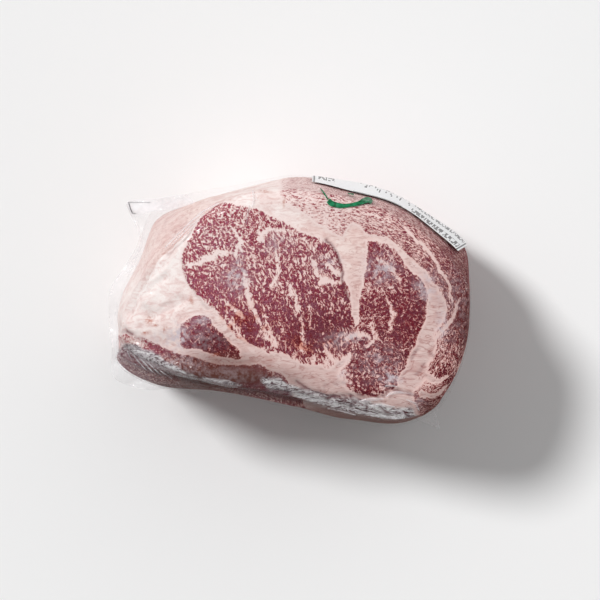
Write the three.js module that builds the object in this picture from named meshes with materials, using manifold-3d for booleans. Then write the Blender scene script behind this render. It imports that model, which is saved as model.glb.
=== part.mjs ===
import * as THREE from 'three';
import Module from 'manifold-3d';
import { mergeVertices } from 'three/addons/utils/BufferGeometryUtils.js';

const wasm = await Module();
wasm.setup();

// A block of marbled ribeye, shrink-wrapped in a clear bag, standing on one cut face with the other
// cut face up. +Y is the fat cap side that carries the label, -Y the rib side, -X the thin fatty tail
// end, +X the chine end. Lengths in millimetres.

// Driving dimensions
const blockHeight = 170; // from the cut face it stands on to the cut face on top
const bellyDepth = 95; // how far below the top the sides stand out in full
const ribBellyDepth = 44; // the same on the rib side, where they come out sooner
const footInset = 7; // how far the lower edge draws in
const footRise = 14; // how high the lower edge rounds up
const faceDome = 3; // crown of the top cut face
const faceHalfLength = 120;
const tail = { start: 62, length: 50, drop: 15 }; // where the top falls away towards the tail end
const wallTop = 156; // the usual height of the top edge's start
const edgeBend = 4; // how late up the wall its rows take on the slope of the top
const edgeShare = 8; // the wall's last eighth, where its relief dies out
const ribTurn = 2; // how soon round the corner the sides stand out as on the rib side
const ripple = { swell: 0.9, turns: 11, pitch: 47 }; // the soft unevenness of the sides
const film = { thick: 1, across: 4, reach: 0.18, ruffle: 2.6, ruffleCount: 7 };

// The grooves that the rib bones left, from the top down, and the stretch over which they fade out
// towards the chine end
const rib = {
  first: 23,
  spacing: 42,
  count: 4,
  deep: 7.4,
  half: 8.5,
  bulge: 2.2,
  slant: 0.05,
  turn: 1.3,
  lag: 0.25,
  fadeFrom: 30,
  fadeLength: 70,
  least: 0.25,
};
const labelSkin = { gap: 0.4, thick: 0.4 };

// The plan, anticlockwise from the chine end: where the top face ends (x, y), where the belly
// stands (x, y), and the radius at which the top edge rounds over
const plan = [
  [119, -7, 121, -7, 9],
  [117, 16, 124, 18, 9],
  [104, 34, 119, 42, 9],
  [84, 52, 96, 62, 9],
  [57, 66, 64, 78, 10],
  [29, 74, 31, 87, 10],
  [-1, 78, -2, 88, 12],
  [-28, 76, -35, 84, 12],
  [-52, 65, -69, 76, 9],
  [-73, 46, -98, 64, 8],
  [-94, 26, -106, 33, 13],
  [-106, 6, -119, 8, 17],
  [-113, -13, -120, -14, 13],
  [-108, -31, -117, -37, 8],
  [-80, -43, -89, -53, 6],
  [-44, -53, -47, -57, 8],
  [-4, -58, -4, -66, 16],
  [36, -68, 36, -76, 20],
  [71, -75, 75, -80, 18],
  [94, -68, 97, -71, 14],
  [107, -52, 109, -53, 10],
  [116, -30, 119, -31, 9],
];

// The flat wings of loose film where the bag's ends were pressed together, as their outer edges,
// with the heights they stand out at
const tailWing = {
  edge: [
    [-72, 76], [-91, 73], [-112, 71], [-111, 62], [-105, 46], [-114, 28], [-125, 10],
    [-126, -14], [-124, -31], [-125, -43], [-121, -52], [-109, -57], [-95, -59], [-78, -57],
  ],
  along: 72,
  level: 86,
  fall: 18,
};
const chineEar = {
  edge: [[84, -79], [94, -83], [103, -86], [102, -79], [100, -68]],
  along: 14,
  level: 60,
  fall: 0,
};

// How finely the block is cut up
const around = 80;
const rowsOf = { base: 2, foot: 3, wall: 30, shoulder: 4, top: 9 };

// The label's stretch of the side, in steps round the block and in rows of the wall
const labelSpan = { from: 7, to: 20, low: 9, high: 24 };

const lerp = THREE.MathUtils.lerp;
const clamp = THREE.MathUtils.clamp;
const smooth = (x) => THREE.MathUtils.smoothstep(x, 0, 1);

function closedCurve(xColumn, yColumn) {
  const points = plan.map((row) => new THREE.Vector3(row[xColumn], row[yColumn], 0));
  return new THREE.CatmullRomCurve3(points, true, 'catmullrom', 0.5);
}
const rimCurve = closedCurve(0, 1);
const bellyCurve = closedCurve(2, 3);
const shoulderCurve = closedCurve(4, 4);

function outwardOf(curve, at) {
  const tangent = curve.getTangent(at);
  return new THREE.Vector3(tangent.y, -tangent.x, 0).normalize();
}

// What the plan says at a place round the block, 0 to 1
function stationAt(turn) {
  const at = ((turn % 1) + 1) % 1;
  const rim = rimCurve.getPoint(at);
  const belly = bellyCurve.getPoint(at);
  const outward = outwardOf(bellyCurve, at);
  const rimInward = outwardOf(rimCurve, at).negate();
  return { at, rim, belly, outward, rimInward, shoulder: shoulderCurve.getPoint(at).x };
}

// The height of the top cut face: slightly crowned, and falling away at the tail end
function topLevel(x, y) {
  const crown = faceDome * (1 - (x * x + y * y) / (faceHalfLength * faceHalfLength));
  const slope = smooth((-x - tail.start) / tail.length) * tail.drop;
  return blockHeight + crown - faceDome - slope;
}

// How far the side stands out or in at a height, from the bone grooves and the soft swell
function sideRelief(station, z) {
  const facing = clamp(-station.outward.y * rib.turn - rib.lag, 0, 1);
  const reach = facing * clamp(1 - (station.belly.x - rib.fadeFrom) / rib.fadeLength, rib.least, 1);
  let groove = -rib.bulge;
  for (let i = 0; i < rib.count; i += 1) {
    const level = blockHeight - rib.first - i * rib.spacing - station.belly.x * rib.slant;
    const off = (z - level) / rib.half;
    groove += (rib.deep + rib.bulge) * Math.exp(-off * off);
  }
  const swell = Math.sin(station.at * ripple.turns * 2 * Math.PI + z / ripple.pitch) * ripple.swell;
  return swell * (1 - reach) - groove * reach;
}

// The profile from the middle of the base to the middle of the top, as rows of zone and place in it
function profileRows() {
  const rows = [];
  for (const [zone, count] of Object.entries(rowsOf)) {
    for (let i = 0; i < count; i += 1) rows.push({ zone, t: i / count });
  }
  rows.push({ zone: 'top', t: 1 });
  return rows;
}

// A point of the skin, for a place round the block and a row of the profile, standing off by a gap
function skinPoint(turn, row, gap = 0) {
  const station = stationAt(turn);
  const foot = station.belly.clone().addScaledVector(station.outward, -footInset);
  const inner = station.rim.clone().addScaledVector(station.rimInward, station.shoulder);
  const rimLevel = topLevel(inner.x, inner.y) - station.shoulder;
  if (row.zone === 'base') return foot.multiplyScalar(row.t);
  if (row.zone === 'foot') {
    const angle = (row.t * Math.PI) / 2;
    const level = footRise * (1 - Math.cos(angle));
    const out = footInset * Math.sin(angle) + sideRelief(station, level) * row.t;
    return foot.addScaledVector(station.outward, out).setZ(level);
  }
  if (row.zone === 'wall') {
    const level = lerp(footRise, wallTop, row.t) + (rimLevel - wallTop) * row.t ** edgeBend;
    const ribSide = clamp(-station.outward.y * ribTurn, 0, 1);
    const full = lerp(bellyDepth, ribBellyDepth, ribSide);
    const flare = smooth((blockHeight - level) / full);
    const edge = smooth((1 - row.t) * edgeShare);
    const out = gap + sideRelief(station, level) * edge;
    return station.rim.clone().lerp(station.belly, flare)
      .addScaledVector(station.outward, out).setZ(level);
  }
  if (row.zone === 'shoulder') {
    const angle = (row.t * Math.PI) / 2;
    const back = station.shoulder * (1 - Math.cos(angle));
    return station.rim.clone().addScaledVector(station.rimInward, back)
      .setZ(rimLevel + station.shoulder * Math.sin(angle));
  }
  inner.multiplyScalar(1 - row.t);
  return inner.setZ(topLevel(inner.x, inner.y));
}

// Moves every vertex of a geometry by a function of its texture coordinates or its place
function reshape(geometry, place) {
  const position = geometry.getAttribute('position');
  const uv = geometry.getAttribute('uv');
  for (let i = 0; i < position.count; i += 1) {
    const here = new THREE.Vector3().fromBufferAttribute(position, i);
    const moved = place(uv.getX(i), uv.getY(i), here);
    position.setXYZ(i, moved.x, moved.y, moved.z);
  }
  return geometry;
}

// A closed solid with its faces pointing out, from a geometry whose shared corners are merged
function toSolid(geometry) {
  const bare = geometry.clone();
  bare.deleteAttribute('normal');
  bare.deleteAttribute('uv');
  const merged = mergeVertices(bare, 1e-3);
  const corners = merged.index.array;
  const kept = [];
  for (let i = 0; i < corners.length; i += 3) {
    const [a, b, c] = [corners[i], corners[i + 1], corners[i + 2]];
    if (a !== b && b !== c && c !== a) kept.push(a, b, c);
  }
  const vertProperties = new Float32Array(merged.getAttribute('position').array);
  const make = (list) => new wasm.Manifold(
    new wasm.Mesh({ numProp: 3, vertProperties, triVerts: new Uint32Array(list) }));
  const solid = make(kept);
  return solid.volume() > 0 ? solid : make(kept.reverse());
}

function toGeometry(solid) {
  const mesh = solid.getMesh();
  const geometry = new THREE.BufferGeometry();
  geometry.setAttribute('position', new THREE.BufferAttribute(new Float32Array(mesh.vertProperties), 3));
  geometry.setIndex(new THREE.BufferAttribute(new Uint32Array(mesh.triVerts), 1));
  geometry.computeVertexNormals();
  return geometry;
}

// The wrapped block: a turned profile whose rings follow the plan
function makeBlock() {
  const rows = profileRows();
  const profile = rows.map((row, j) => {
    const onAxis = j === 0 || j === rows.length - 1;
    return new THREE.Vector2(onAxis ? 0 : faceHalfLength, j);
  });
  const lathe = new THREE.LatheGeometry(profile, around);
  return reshape(lathe, (u, v) => skinPoint(u, rows[Math.round(v * (rows.length - 1))]));
}

// A thin wavy wing of film from inside the block out to its own edge
function makeWing({ edge, along, level, fall }) {
  const points = edge.map(([x, y]) => new THREE.Vector3(x, y, 0));
  const curve = new THREE.CatmullRomCurve3(points, false, 'catmullrom', 0.5);
  const strip = new THREE.BoxGeometry(1, 1, 1, along, film.across, 1);
  return reshape(strip, (u, v, here) => {
    const t = here.x + 0.5;
    const out = here.y + 0.5;
    const ruffle = Math.sin(t * film.ruffleCount * 2 * Math.PI) * film.ruffle * out;
    const spot = curve.getPoint(t).multiplyScalar(1 - film.reach * (1 - out));
    return spot.setZ(level - fall * t + ruffle + here.z * film.thick);
  });
}

// The label: a skin that follows the side just clear of the film
function makeLabel() {
  const { from, to, low, high } = labelSpan;
  const strip = new THREE.BoxGeometry(1, 1, 1, to - from, high - low, 1);
  return reshape(strip, (u, v, here) => {
    const step = Math.round(lerp(from, to, here.x + 0.5));
    const rowIndex = Math.round(lerp(low, high, here.y + 0.5));
    const gap = labelSkin.gap + (here.z + 0.5) * labelSkin.thick;
    return skinPoint(step / around, { zone: 'wall', t: rowIndex / rowsOf.wall }, gap);
  });
}

const finish = {
  sealedRibeye: new THREE.MeshStandardMaterial({ color: 0xb4787a, roughness: 0.32, metalness: 0 }),
  label: new THREE.MeshStandardMaterial({ color: 0xe9e9ec, roughness: 0.45, metalness: 0 }),
};

const bag = toSolid(makeBlock()).add(toSolid(makeWing(tailWing))).add(toSolid(makeWing(chineEar)));
const bagGeometry = toGeometry(bag);
bagGeometry.computeBoundingBox();
const middle = bagGeometry.boundingBox.getCenter(new THREE.Vector3());

// The whole stands with the middle of its box over the origin and its base on z = 0
const ribeye = new THREE.Group();
ribeye.position.set(-middle.x, -middle.y, 0);

function addPart(name, geometry, material) {
  const mesh = new THREE.Mesh(geometry, material);
  mesh.name = name;
  ribeye.add(mesh);
}
addPart('sealed_ribeye', bagGeometry, finish.sealedRibeye);
addPart('label', toGeometry(toSolid(makeLabel())), finish.label);

export default ribeye;
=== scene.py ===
import math
import bpy
import bmesh
import numpy as np
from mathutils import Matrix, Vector


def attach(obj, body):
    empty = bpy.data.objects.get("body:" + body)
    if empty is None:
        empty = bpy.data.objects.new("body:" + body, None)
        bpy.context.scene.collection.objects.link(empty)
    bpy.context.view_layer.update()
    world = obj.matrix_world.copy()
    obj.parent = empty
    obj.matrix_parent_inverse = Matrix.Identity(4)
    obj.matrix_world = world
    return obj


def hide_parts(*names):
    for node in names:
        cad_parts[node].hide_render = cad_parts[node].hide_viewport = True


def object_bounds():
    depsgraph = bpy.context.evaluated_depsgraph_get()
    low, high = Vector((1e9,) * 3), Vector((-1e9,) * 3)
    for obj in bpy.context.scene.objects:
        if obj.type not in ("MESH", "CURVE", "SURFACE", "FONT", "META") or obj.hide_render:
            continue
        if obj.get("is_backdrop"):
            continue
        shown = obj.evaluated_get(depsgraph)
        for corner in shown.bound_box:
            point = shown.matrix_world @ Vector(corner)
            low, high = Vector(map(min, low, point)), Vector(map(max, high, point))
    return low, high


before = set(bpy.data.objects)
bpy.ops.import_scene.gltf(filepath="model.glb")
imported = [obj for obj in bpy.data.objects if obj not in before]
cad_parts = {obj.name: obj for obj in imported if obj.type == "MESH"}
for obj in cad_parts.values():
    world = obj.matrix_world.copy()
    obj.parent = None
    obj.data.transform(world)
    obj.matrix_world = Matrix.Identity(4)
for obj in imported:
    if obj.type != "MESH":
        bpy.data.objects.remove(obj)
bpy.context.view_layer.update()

mm = 0.001
print("frame loaded")

# The block's own form, in millimetres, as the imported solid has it
block = {
    "height": 170,
    "bellyDepth": 95,
    "ribBellyDepth": 44,
    "footInset": 7,
    "footRise": 14,
    "faceDome": 3,
    "faceHalfLength": 120,
    "wallTop": 156,
    "tailStart": 62,
    "tailLength": 50,
    "tailDrop": 15,
    "ribFirst": 23,
    "ribSpacing": 42,
    "ribCount": 4,
    "ribDeep": 7.4,
    "ribHalf": 8.5,
    "ribBulge": 2.2,
    "ribSlant": 0.05,
    "ribTurn": 1.3,
    "ribLag": 0.25,
    "ribFadeFrom": 30,
    "ribFadeLength": 70,
    "ribLeast": 0.25,
    "edgeBend": 4,
    "edgeShare": 8,
    "swell": 0.9,
    "swellTurns": 11,
    "swellPitch": 47,
}
# where the middle of the plan stands in the block's own frame
seat = np.array([1.075, -1.487])

# The plan, anticlockwise from the chine end: rim of the cut face (x, y), belly (x, y), radius of the
# top edge, and how far the meat stays inside the film
plan = np.array([
    [119, -7, 121, -7, 9, 0.2],
    [117, 16, 124, 18, 9, 0.2],
    [104, 34, 119, 42, 9, 1.0],
    [84, 52, 96, 62, 9, 0.3],
    [57, 66, 64, 78, 10, 0.3],
    [29, 74, 31, 87, 10, 0.3],
    [-1, 78, -2, 88, 12, 0.5],
    [-28, 76, -35, 84, 12, 2.0],
    [-52, 65, -69, 76, 9, 6.0],
    [-73, 46, -98, 64, 8, 5.5],
    [-94, 26, -106, 33, 13, 2.0],
    [-106, 6, -119, 8, 17, 0.8],
    [-113, -13, -120, -14, 13, 0.5],
    [-108, -31, -117, -37, 8, 0.5],
    [-80, -43, -89, -53, 6, 0.3],
    [-44, -53, -47, -57, 8, 0.3],
    [-4, -58, -4, -66, 16, 0.3],
    [36, -68, 36, -76, 20, 0.3],
    [71, -75, 75, -80, 18, 0.3],
    [94, -68, 97, -71, 14, 1.0],
    [107, -52, 109, -53, 10, 3.6],
    [116, -30, 119, -31, 9, 1.6],
], dtype=float)
stationCount = len(plan)


def lerp(a, b, t):
    return a + (b - a) * t


def smooth(x):
    t = np.clip(x, 0, 1)
    return t * t * (3 - 2 * t)


def bell(x):
    return np.exp(-x * x)


def curveAt(points, at, closed=True):
    # Catmull-Rom through the points, with its slope
    count = len(points)
    i = np.floor(at).astype(int)
    if not closed:
        i = np.clip(i, 0, count - 2)
        ends = [2 * points[0] - points[1], 2 * points[-1] - points[-2]]
        points = np.vstack([ends[0], points, ends[1]])
        i = i + 1
        at = at + 1
        count += 2
    f = (at - i)[:, None]
    a, b, c, d = (points[(i + k) % count] for k in (-1, 0, 1, 2))
    m0 = (c - a) / 2
    m1 = (d - b) / 2
    place = (2 * f**3 - 3 * f**2 + 1) * b + (f**3 - 2 * f**2 + f) * m0
    place = place + (3 * f**2 - 2 * f**3) * c + (f**3 - f**2) * m1
    slope = (6 * f**2 - 6 * f) * (b - c) + (3 * f**2 - 4 * f + 1) * m0 + (3 * f**2 - 2 * f) * m1
    return place, slope


def planAt(turn, first, last):
    return curveAt(plan[:, first:last], np.mod(turn, 1) * stationCount)


def outwardOf(slope):
    return np.stack([slope[:, 1], -slope[:, 0]], 1) / np.linalg.norm(slope, axis=1)[:, None]


def bumps(points, size, seed):
    # smooth seeded noise from a lattice, -1 to 1
    table = np.random.RandomState(seed).rand(32, 32, 32) * 2 - 1
    q = points / size
    i = np.floor(q).astype(int)
    f = smooth(q - i)
    total = np.zeros(len(points))
    for dx in (0, 1):
        for dy in (0, 1):
            for dz in (0, 1):
                share = np.abs(1 - dx - f[:, 0]) * np.abs(1 - dy - f[:, 1]) * np.abs(1 - dz - f[:, 2])
                corner = table[(i[:, 0] + dx) % 32, (i[:, 1] + dy) % 32, (i[:, 2] + dz) % 32]
                total += share * corner
    return total


def topLevel(xy):
    crown = block["faceDome"] * (1 - (xy**2).sum(1) / block["faceHalfLength"]**2)
    slope = smooth((-xy[:, 0] - block["tailStart"]) / block["tailLength"]) * block["tailDrop"]
    return block["height"] + crown - block["faceDome"] - slope


def ribLevels(bellyX):
    # the heights of the grooves that the rib bones left, one after another
    for i in range(block["ribCount"]):
        yield block["height"] - block["ribFirst"] - i * block["ribSpacing"] - bellyX * block["ribSlant"]


def grooveDepth(bellyX, z):
    groove = np.full(len(z), -float(block["ribBulge"]))
    for level in ribLevels(bellyX):
        groove += (block["ribDeep"] + block["ribBulge"]) * bell((z - level) / block["ribHalf"])
    return groove


def ribFacing(outward):
    return np.clip(-outward[:, 1] * block["ribTurn"] - block["ribLag"], 0, 1)


def ribReach(outward, bellyX):
    fade = 1 - (bellyX - block["ribFadeFrom"]) / block["ribFadeLength"]
    return ribFacing(outward) * np.clip(fade, block["ribLeast"], 1)


def sideRelief(turn, outward, belly, z):
    reach = ribReach(outward, belly[:, 0])
    phase = np.mod(turn, 1) * block["swellTurns"] * 2 * math.pi
    swell = np.sin(phase + z / block["swellPitch"]) * block["swell"]
    return swell * (1 - reach) - grooveDepth(belly[:, 0], z) * reach


# The skin of the block at a place round it and a place down its profile. drop runs from 0 in the
# middle of the top, 1 where the edge starts to round, 2 where the wall starts, 3 at the foot's
# rounding, 4 where the base is flat, to 5 in its middle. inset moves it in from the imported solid.
def skin(turn, drop, inset):
    rim, rimSlope = planAt(turn, 0, 2)
    belly, bellySlope = planAt(turn, 2, 4)
    shoulder = planAt(turn, 4, 5)[0][:, 0]
    outward = outwardOf(bellySlope)
    rimOut = outwardOf(rimSlope)
    inner = rim - rimOut * shoulder[:, None]
    rimLevel = topLevel(inner) - shoulder
    foot = belly - outward * block["footInset"]
    place = np.zeros((len(turn), 3))

    onTop = drop <= 1
    xy = inner * drop[:, None]
    place[onTop, :2] = xy[onTop]
    place[onTop, 2] = topLevel(xy)[onTop]

    onShoulder = (drop > 1) & (drop <= 2)
    angle = np.clip(drop - 1, 0, 1) * math.pi / 2
    xy = rim - rimOut * (shoulder * (1 - np.sin(angle)))[:, None]
    place[onShoulder, :2] = xy[onShoulder]
    place[onShoulder, 2] = (rimLevel + shoulder * np.cos(angle))[onShoulder]

    onWall = (drop > 2) & (drop <= 3)
    t = 3 - drop
    level = lerp(block["footRise"], block["wallTop"], t)
    level += (rimLevel - block["wallTop"]) * t**block["edgeBend"]
    full = lerp(block["bellyDepth"], block["ribBellyDepth"], np.clip(-outward[:, 1] * 2, 0, 1))
    flare = smooth((block["height"] - level) / full)
    relief = sideRelief(turn, outward, belly, level) * smooth((1 - t) * block["edgeShare"])
    xy = lerp(rim, belly, flare[:, None]) + outward * relief[:, None]
    place[onWall, :2] = xy[onWall]
    place[onWall, 2] = level[onWall]

    onFoot = (drop > 3) & (drop <= 4)
    t = np.clip(4 - drop, 0, 1)
    level = block["footRise"] * (1 - np.cos(t * math.pi / 2))
    out = block["footInset"] * np.sin(t * math.pi / 2) + sideRelief(turn, outward, belly, level) * t
    xy = foot + outward * out[:, None]
    place[onFoot, :2] = xy[onFoot]
    place[onFoot, 2] = level[onFoot]

    onBase = drop > 4
    xy = foot * (5 - drop)[:, None]
    place[onBase, :2] = xy[onBase]

    lean = np.where(onTop | onBase, 0, np.where(onShoulder, np.sin(angle), 1))
    lift = np.where(onTop, 1, np.where(onShoulder, np.cos(angle), np.where(onBase, -1, 0)))
    place[:, :2] -= outward * (lean * inset)[:, None]
    place[:, 2] -= lift * np.minimum(inset, 3)
    return place


# Turns at which the mesh's corner columns stand: north-east, north-west, south-west, south-east
cornerTurns = [2.5 / stationCount, 9 / stationCount, 13 / stationCount, 19.5 / stationCount]


def ringPlace(x, y):
    # a place on the square's rings as a turn round the block and a share of the way out
    share = np.maximum(np.abs(x), np.abs(y))
    safe = np.maximum(share, 1e-9)
    a = np.clip(x / safe, -1, 1)
    b = np.clip(y / safe, -1, 1)
    ne, nw, sw, se = cornerTurns
    turn = lerp(se, ne + 1, (1 + b) / 2)
    turn = np.where(b >= 1 - 1e-6, lerp(ne, nw, (1 - a) / 2), turn)
    turn = np.where((a <= -1 + 1e-6) & (np.abs(b) < 1 - 1e-6), lerp(nw, sw, (1 - b) / 2), turn)
    turn = np.where(b <= -1 + 1e-6, lerp(sw, se, (1 + a) / 2), turn)
    return turn, share


def meshFrom(bm, name):
    mesh = bpy.data.meshes.new(name)
    bm.to_mesh(mesh)
    bm.free()
    return mesh


def gridBlock(name, grid):
    # a cube cut into even strips, whose vertices then take their places on the skin
    bm = bmesh.new()
    bmesh.ops.create_cube(bm, size=2)
    for axis, cuts in enumerate((grid["columns"], grid["ranks"], grid["rows"])):
        along = [e for e in bm.edges if abs(e.verts[0].co[axis] - e.verts[1].co[axis]) > 1]
        bmesh.ops.subdivide_edges(bm, edges=along, cuts=cuts - 1, use_grid_fill=True)
    mesh = meshFrom(bm, name)
    co = readPlaces(mesh)
    turn, share = ringPlace(co[:, 0], co[:, 1])
    side = share > 1 - 1e-5
    # the side's strips: some for the top edge, most for the wall, a few for the foot
    down = (1 - co[:, 2]) / 2
    sideDrop = np.interp(down, [0, grid["edgeShare"], 1 - grid["footShare"], 1], [1, 2, 3, 4])
    drop = np.where(side, sideDrop, np.where(co[:, 2] > 0, share, 5 - share))
    return mesh, turn, drop


def readPlaces(mesh):
    co = np.zeros(len(mesh.vertices) * 3)
    mesh.vertices.foreach_get("co", co)
    return co.reshape(-1, 3)


def addObject(name, data):
    made = bpy.data.objects.new(name, data)
    bpy.context.scene.collection.objects.link(made)
    return made


def makePiece(mesh, place, material, node="sealed_ribeye"):
    inFrame = np.concatenate([place[:, :2] + seat, place[:, 2:]], 1) * mm
    mesh.vertices.foreach_set("co", inFrame.ravel())
    mesh.polygons.foreach_set("use_smooth", np.ones(len(mesh.polygons), dtype=bool))
    mesh.update()
    mesh.materials.append(material)
    piece = addObject(mesh.name, mesh)
    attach(piece, "root")
    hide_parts(node)
    print(mesh.name, sum(len(p.vertices) - 2 for p in mesh.polygons), "triangles")


def addField(mesh, name, values):
    kind = "FLOAT_VECTOR" if values.ndim == 2 else "FLOAT"
    field = mesh.attributes.new(name, kind, "POINT")
    field.data.foreach_set("vector" if values.ndim == 2 else "value", values.astype(np.float32).ravel())


def linearColour(code):
    channels = [int(code[i:i + 2], 16) / 255 for i in (1, 3, 5)]
    return [c / 12.92 if c <= 0.04045 else ((c + 0.055) / 1.055)**2.4 for c in channels] + [1]


def newMaterial(name):
    material = bpy.data.materials.new(name)
    material.use_nodes = True
    material.node_tree.nodes.clear()
    return material


# a Mix node's settings for colours, and for colours that darken each other
inColour = {"out": 2, "data_type": "RGBA"}
darkening = {**inColour, "blend_type": "MULTIPLY"}


def addNode(tree, kind, links, out=0, stops=None, **settings):
    # one node: its settings, its sockets' values or links, and a colour ramp's stops
    node = tree.nodes.new("ShaderNode" + kind)
    for name, value in settings.items():
        setattr(node, name, value)
    for socket, source in links.items():
        if isinstance(source, bpy.types.NodeSocket):
            tree.links.new(source, node.inputs[socket])
        else:
            node.inputs[socket].default_value = linearColour(source) if isinstance(source, str) else source
    if stops:
        ramp = node.color_ramp
        ramp.elements[0].position = stops[0][0]
        ramp.elements[0].color = linearColour(stops[0][1])
        ramp.elements[1].position = stops[-1][0]
        ramp.elements[1].color = linearColour(stops[-1][1])
        for position, code in stops[1:-1]:
            ramp.elements.new(position).color = linearColour(code)
    return node.outputs[out] if node.outputs else node


def readFields(tree, names):
    return {name: addNode(tree, "Attribute", {}, out="Fac", attribute_name=name) for name in names}


def speckle(tree, vector, scale, reach, spread, **noise):
    # a noise whose values within reach are spread out evenly
    grains = addNode(tree, "TexNoise", {"Vector": vector, "Scale": scale, "Detail": 2.0, **noise})
    return addNode(tree, "MapRange", {0: grains, 1: reach[0], 2: reach[1], 3: spread[0], 4: spread[1]})


def windingLines(tree, vector, scale, half, strength, **noise):
    # thin lines along the places where a noise passes its middle
    line = addNode(tree, "TexNoise", {"Vector": vector, "Scale": scale, "Detail": 2.0, **noise})
    line = addNode(tree, "Math", {0: line, 1: 0.5}, operation="SUBTRACT")
    line = addNode(tree, "Math", {0: line}, operation="ABSOLUTE")
    return addNode(tree, "MapRange", {0: line, 1: 0.0, 2: half, 3: strength, 4: 0.0})


# Muscles of the cut face: outlines in millimetres on the plan, lean's share against fat, how far the
# flecks run out into strokes, and the closeness of the flecks
muscles = {
    "eye": {"lean": 0.56, "stroke": 0.9, "fine": 0.1, "outline": [
        (-48, 67), (-36, 65), (-26, 63), (-16, 59), (-7, 55), (1, 50), (9, 47), (21, 42), (28, 36),
        (32, 27), (35.5, 16), (38.5, 3), (41, -9), (46, -18), (44, -30), (36, -33), (29, -38),
        (26, -42), (18, -38), (9, -38), (-1, -32), (-10, -30), (-19, -31), (-31, -24), (-40, -14),
        (-52, -2), (-60, 6), (-67, 15), (-71, 24), (-71, 32), (-67, 43), (-60, 55), (-55, 63)]},
    "complexus": {"lean": 0.6, "stroke": 0.5, "fine": 0.3, "outline": [
        (50, 41), (59, 40), (68, 36), (73, 28), (79, 20), (88, 14), (90, 3), (88, -9), (84, -19),
        (80, -30), (76, -40), (71, -51), (64, -57), (56, -60), (47, -60), (39, -56), (34, -50),
        (32, -46), (36, -40), (38, -30), (42, -18), (45, -5), (45, 10), (46, 23)]},
    "cap": {"lean": 0.46, "stroke": 1.0, "fine": 0.6, "outline": [
        (-6, 75), (6, 80), (26, 80), (50, 78), (72, 68), (92, 54), (108, 37), (120, 18), (126, -5),
        (124, -22), (118, -38), (108, -55), (98, -70), (89, -75), (83, -66), (82, -57), (88, -52),
        (92, -44), (96, -31), (96, -20), (102, -10), (104, 1), (100, 9), (94, 16), (88, 24), (79, 32),
        (69, 39), (59, 45), (46, 48), (35, 46), (23, 51), (10, 61), (-2, 67)]},
    "tailMuscle": {"lean": 0.62, "stroke": 0.1, "fine": 0.3, "outline": [
        (-71, -12), (-63, -8), (-56, -9), (-50, -15), (-43, -24), (-35, -32), (-34, -35), (-43, -35),
        (-53, -30), (-63, -28), (-71, -26)]},
    "ribStrip": {"lean": 0.7, "stroke": 0.1, "fine": 0.5, "outline": [
        (-114, -21), (-104, -22), (-93, -25), (-80, -31), (-67, -34.5), (-56, -36), (-43, -36.5),
        (-30, -38), (-19, -41), (-8, -46), (-1, -53), (-2, -66), (-27, -64), (-47, -62), (-67, -54),
        (-86, -48), (-104, -40), (-118, -34)]},
}

# Seams of fat: points on the plan with the seam's half width there
seams = [
    [(42, 46, 7), (42, 36, 8.6), (43.5, 23, 5.5), (42.5, 10, 3.5), (42, -1, 2.2), (43, -13, 0.6)],
    [(-66, 8, 2.0), (-55, -3, 2.6), (-47, -12, 3.0), (-38, -22, 3.2), (-27, -31, 3.4), (-15, -36, 3.6),
     (-5, -42, 4), (6, -48, 4.5), (19, -53, 4.5), (32, -56, 3)],
    [(50, 45, 2.2), (61, 43, 1.2), (71, 37, 0.8), (77, 30, 1.8), (85, 21, 2.4), (92, 13, 2.0), (94, 3, 1.0),
     (92, -10, 2.4), (88, -23, 3.8), (84, -36, 5.4), (79, -47, 6), (75, -56, 5)],
    [(-76, -30, 1.6), (-63, -32, 2.2), (-50, -36, 2.2), (-36, -38, 1.8), (-23, -37, 1.6)],
    [(75, 52, 0.1), (84, 43, 0.4), (92, 34, 0.5), (98, 24, 0.5), (104, 14, 0.4), (107, 3, 0.2)],
    [(110, 3, 0.2), (106, -10, 0.5), (98, -19, 0.6), (93, -26, 0.4)],
    [(88, -46, 2), (96, -50, 1.2), (103, -47, 0.6)],
    [(86, -58, 1.6), (94, -60, 0.9), (102, -54, 0.4)],
]

# Veins of fat inside the muscles, which the flecks run into: points on the plan with the half width
veins = [
    [(-31, 22, 0.6), (-27, 3, 1.2), (-19, -16, 1.2), (-11, -27, 0.6)],
    [(-19, -5, 0.5), (-15, -15, 1.0), (-10, -24, 0.6)],
    [(6, -9, 0.4), (8, -20, 0.8), (8, -30, 0.5)],
    [(12, 1, 0.4), (13, -13, 0.5)],
    [(18, 13, 0.8), (23, 16, 0.9), (32, 15, 1.0), (36, 19, 1.0)],
    [(14, 28, 0.5), (18, 20, 0.8), (23, 16, 0.8)],
    [(24, 28, 0.6), (30, 22, 0.8), (36, 19, 1.0)],
    [(36, -22, 0.8), (43, -19, 1.0), (51, -21, 0.8)],
    [(53, -13, 0.8), (55, -22, 1.0), (50, -27, 0.6)],
    [(-57, 31, 0.6), (-50, 34, 1.2), (-43, 35, 0.8)],
    [(-69, 26, 0.8), (-60, 28, 1.0), (-51, 31, 0.9)],
    [(-38, 50, 0.6), (-34, 42, 1.0), (-36, 32, 0.6)],
    [(-22, 43, 0.6), (-14, 50, 0.8), (-4, 47, 0.6)],
    [(-46, 3, 0.6), (-36, -5, 1.0), (-31, -9, 0.7)],
    [(-40, -11, 0.6), (-34, -18, 0.9), (-30, -26, 0.6)],
    [(-10, 34, 0.4), (-8, 22, 0.9), (-12, 12, 0.5)],
    [(-2, 12, 0.4), (4, 4, 0.8), (3, -6, 0.5)],
    [(22, -26, 0.6), (26, -34, 1.2), (30, -38, 0.8)],
    [(38, -31, 0.8), (36, -36, 1.4), (28, -44, 1.8)],
    [(62, 4, 0.4), (67, -6, 0.7), (66, -18, 0.4)],
    [(56, 30, 0.5), (64, 26, 0.8), (72, 16, 0.5)],
]

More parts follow.
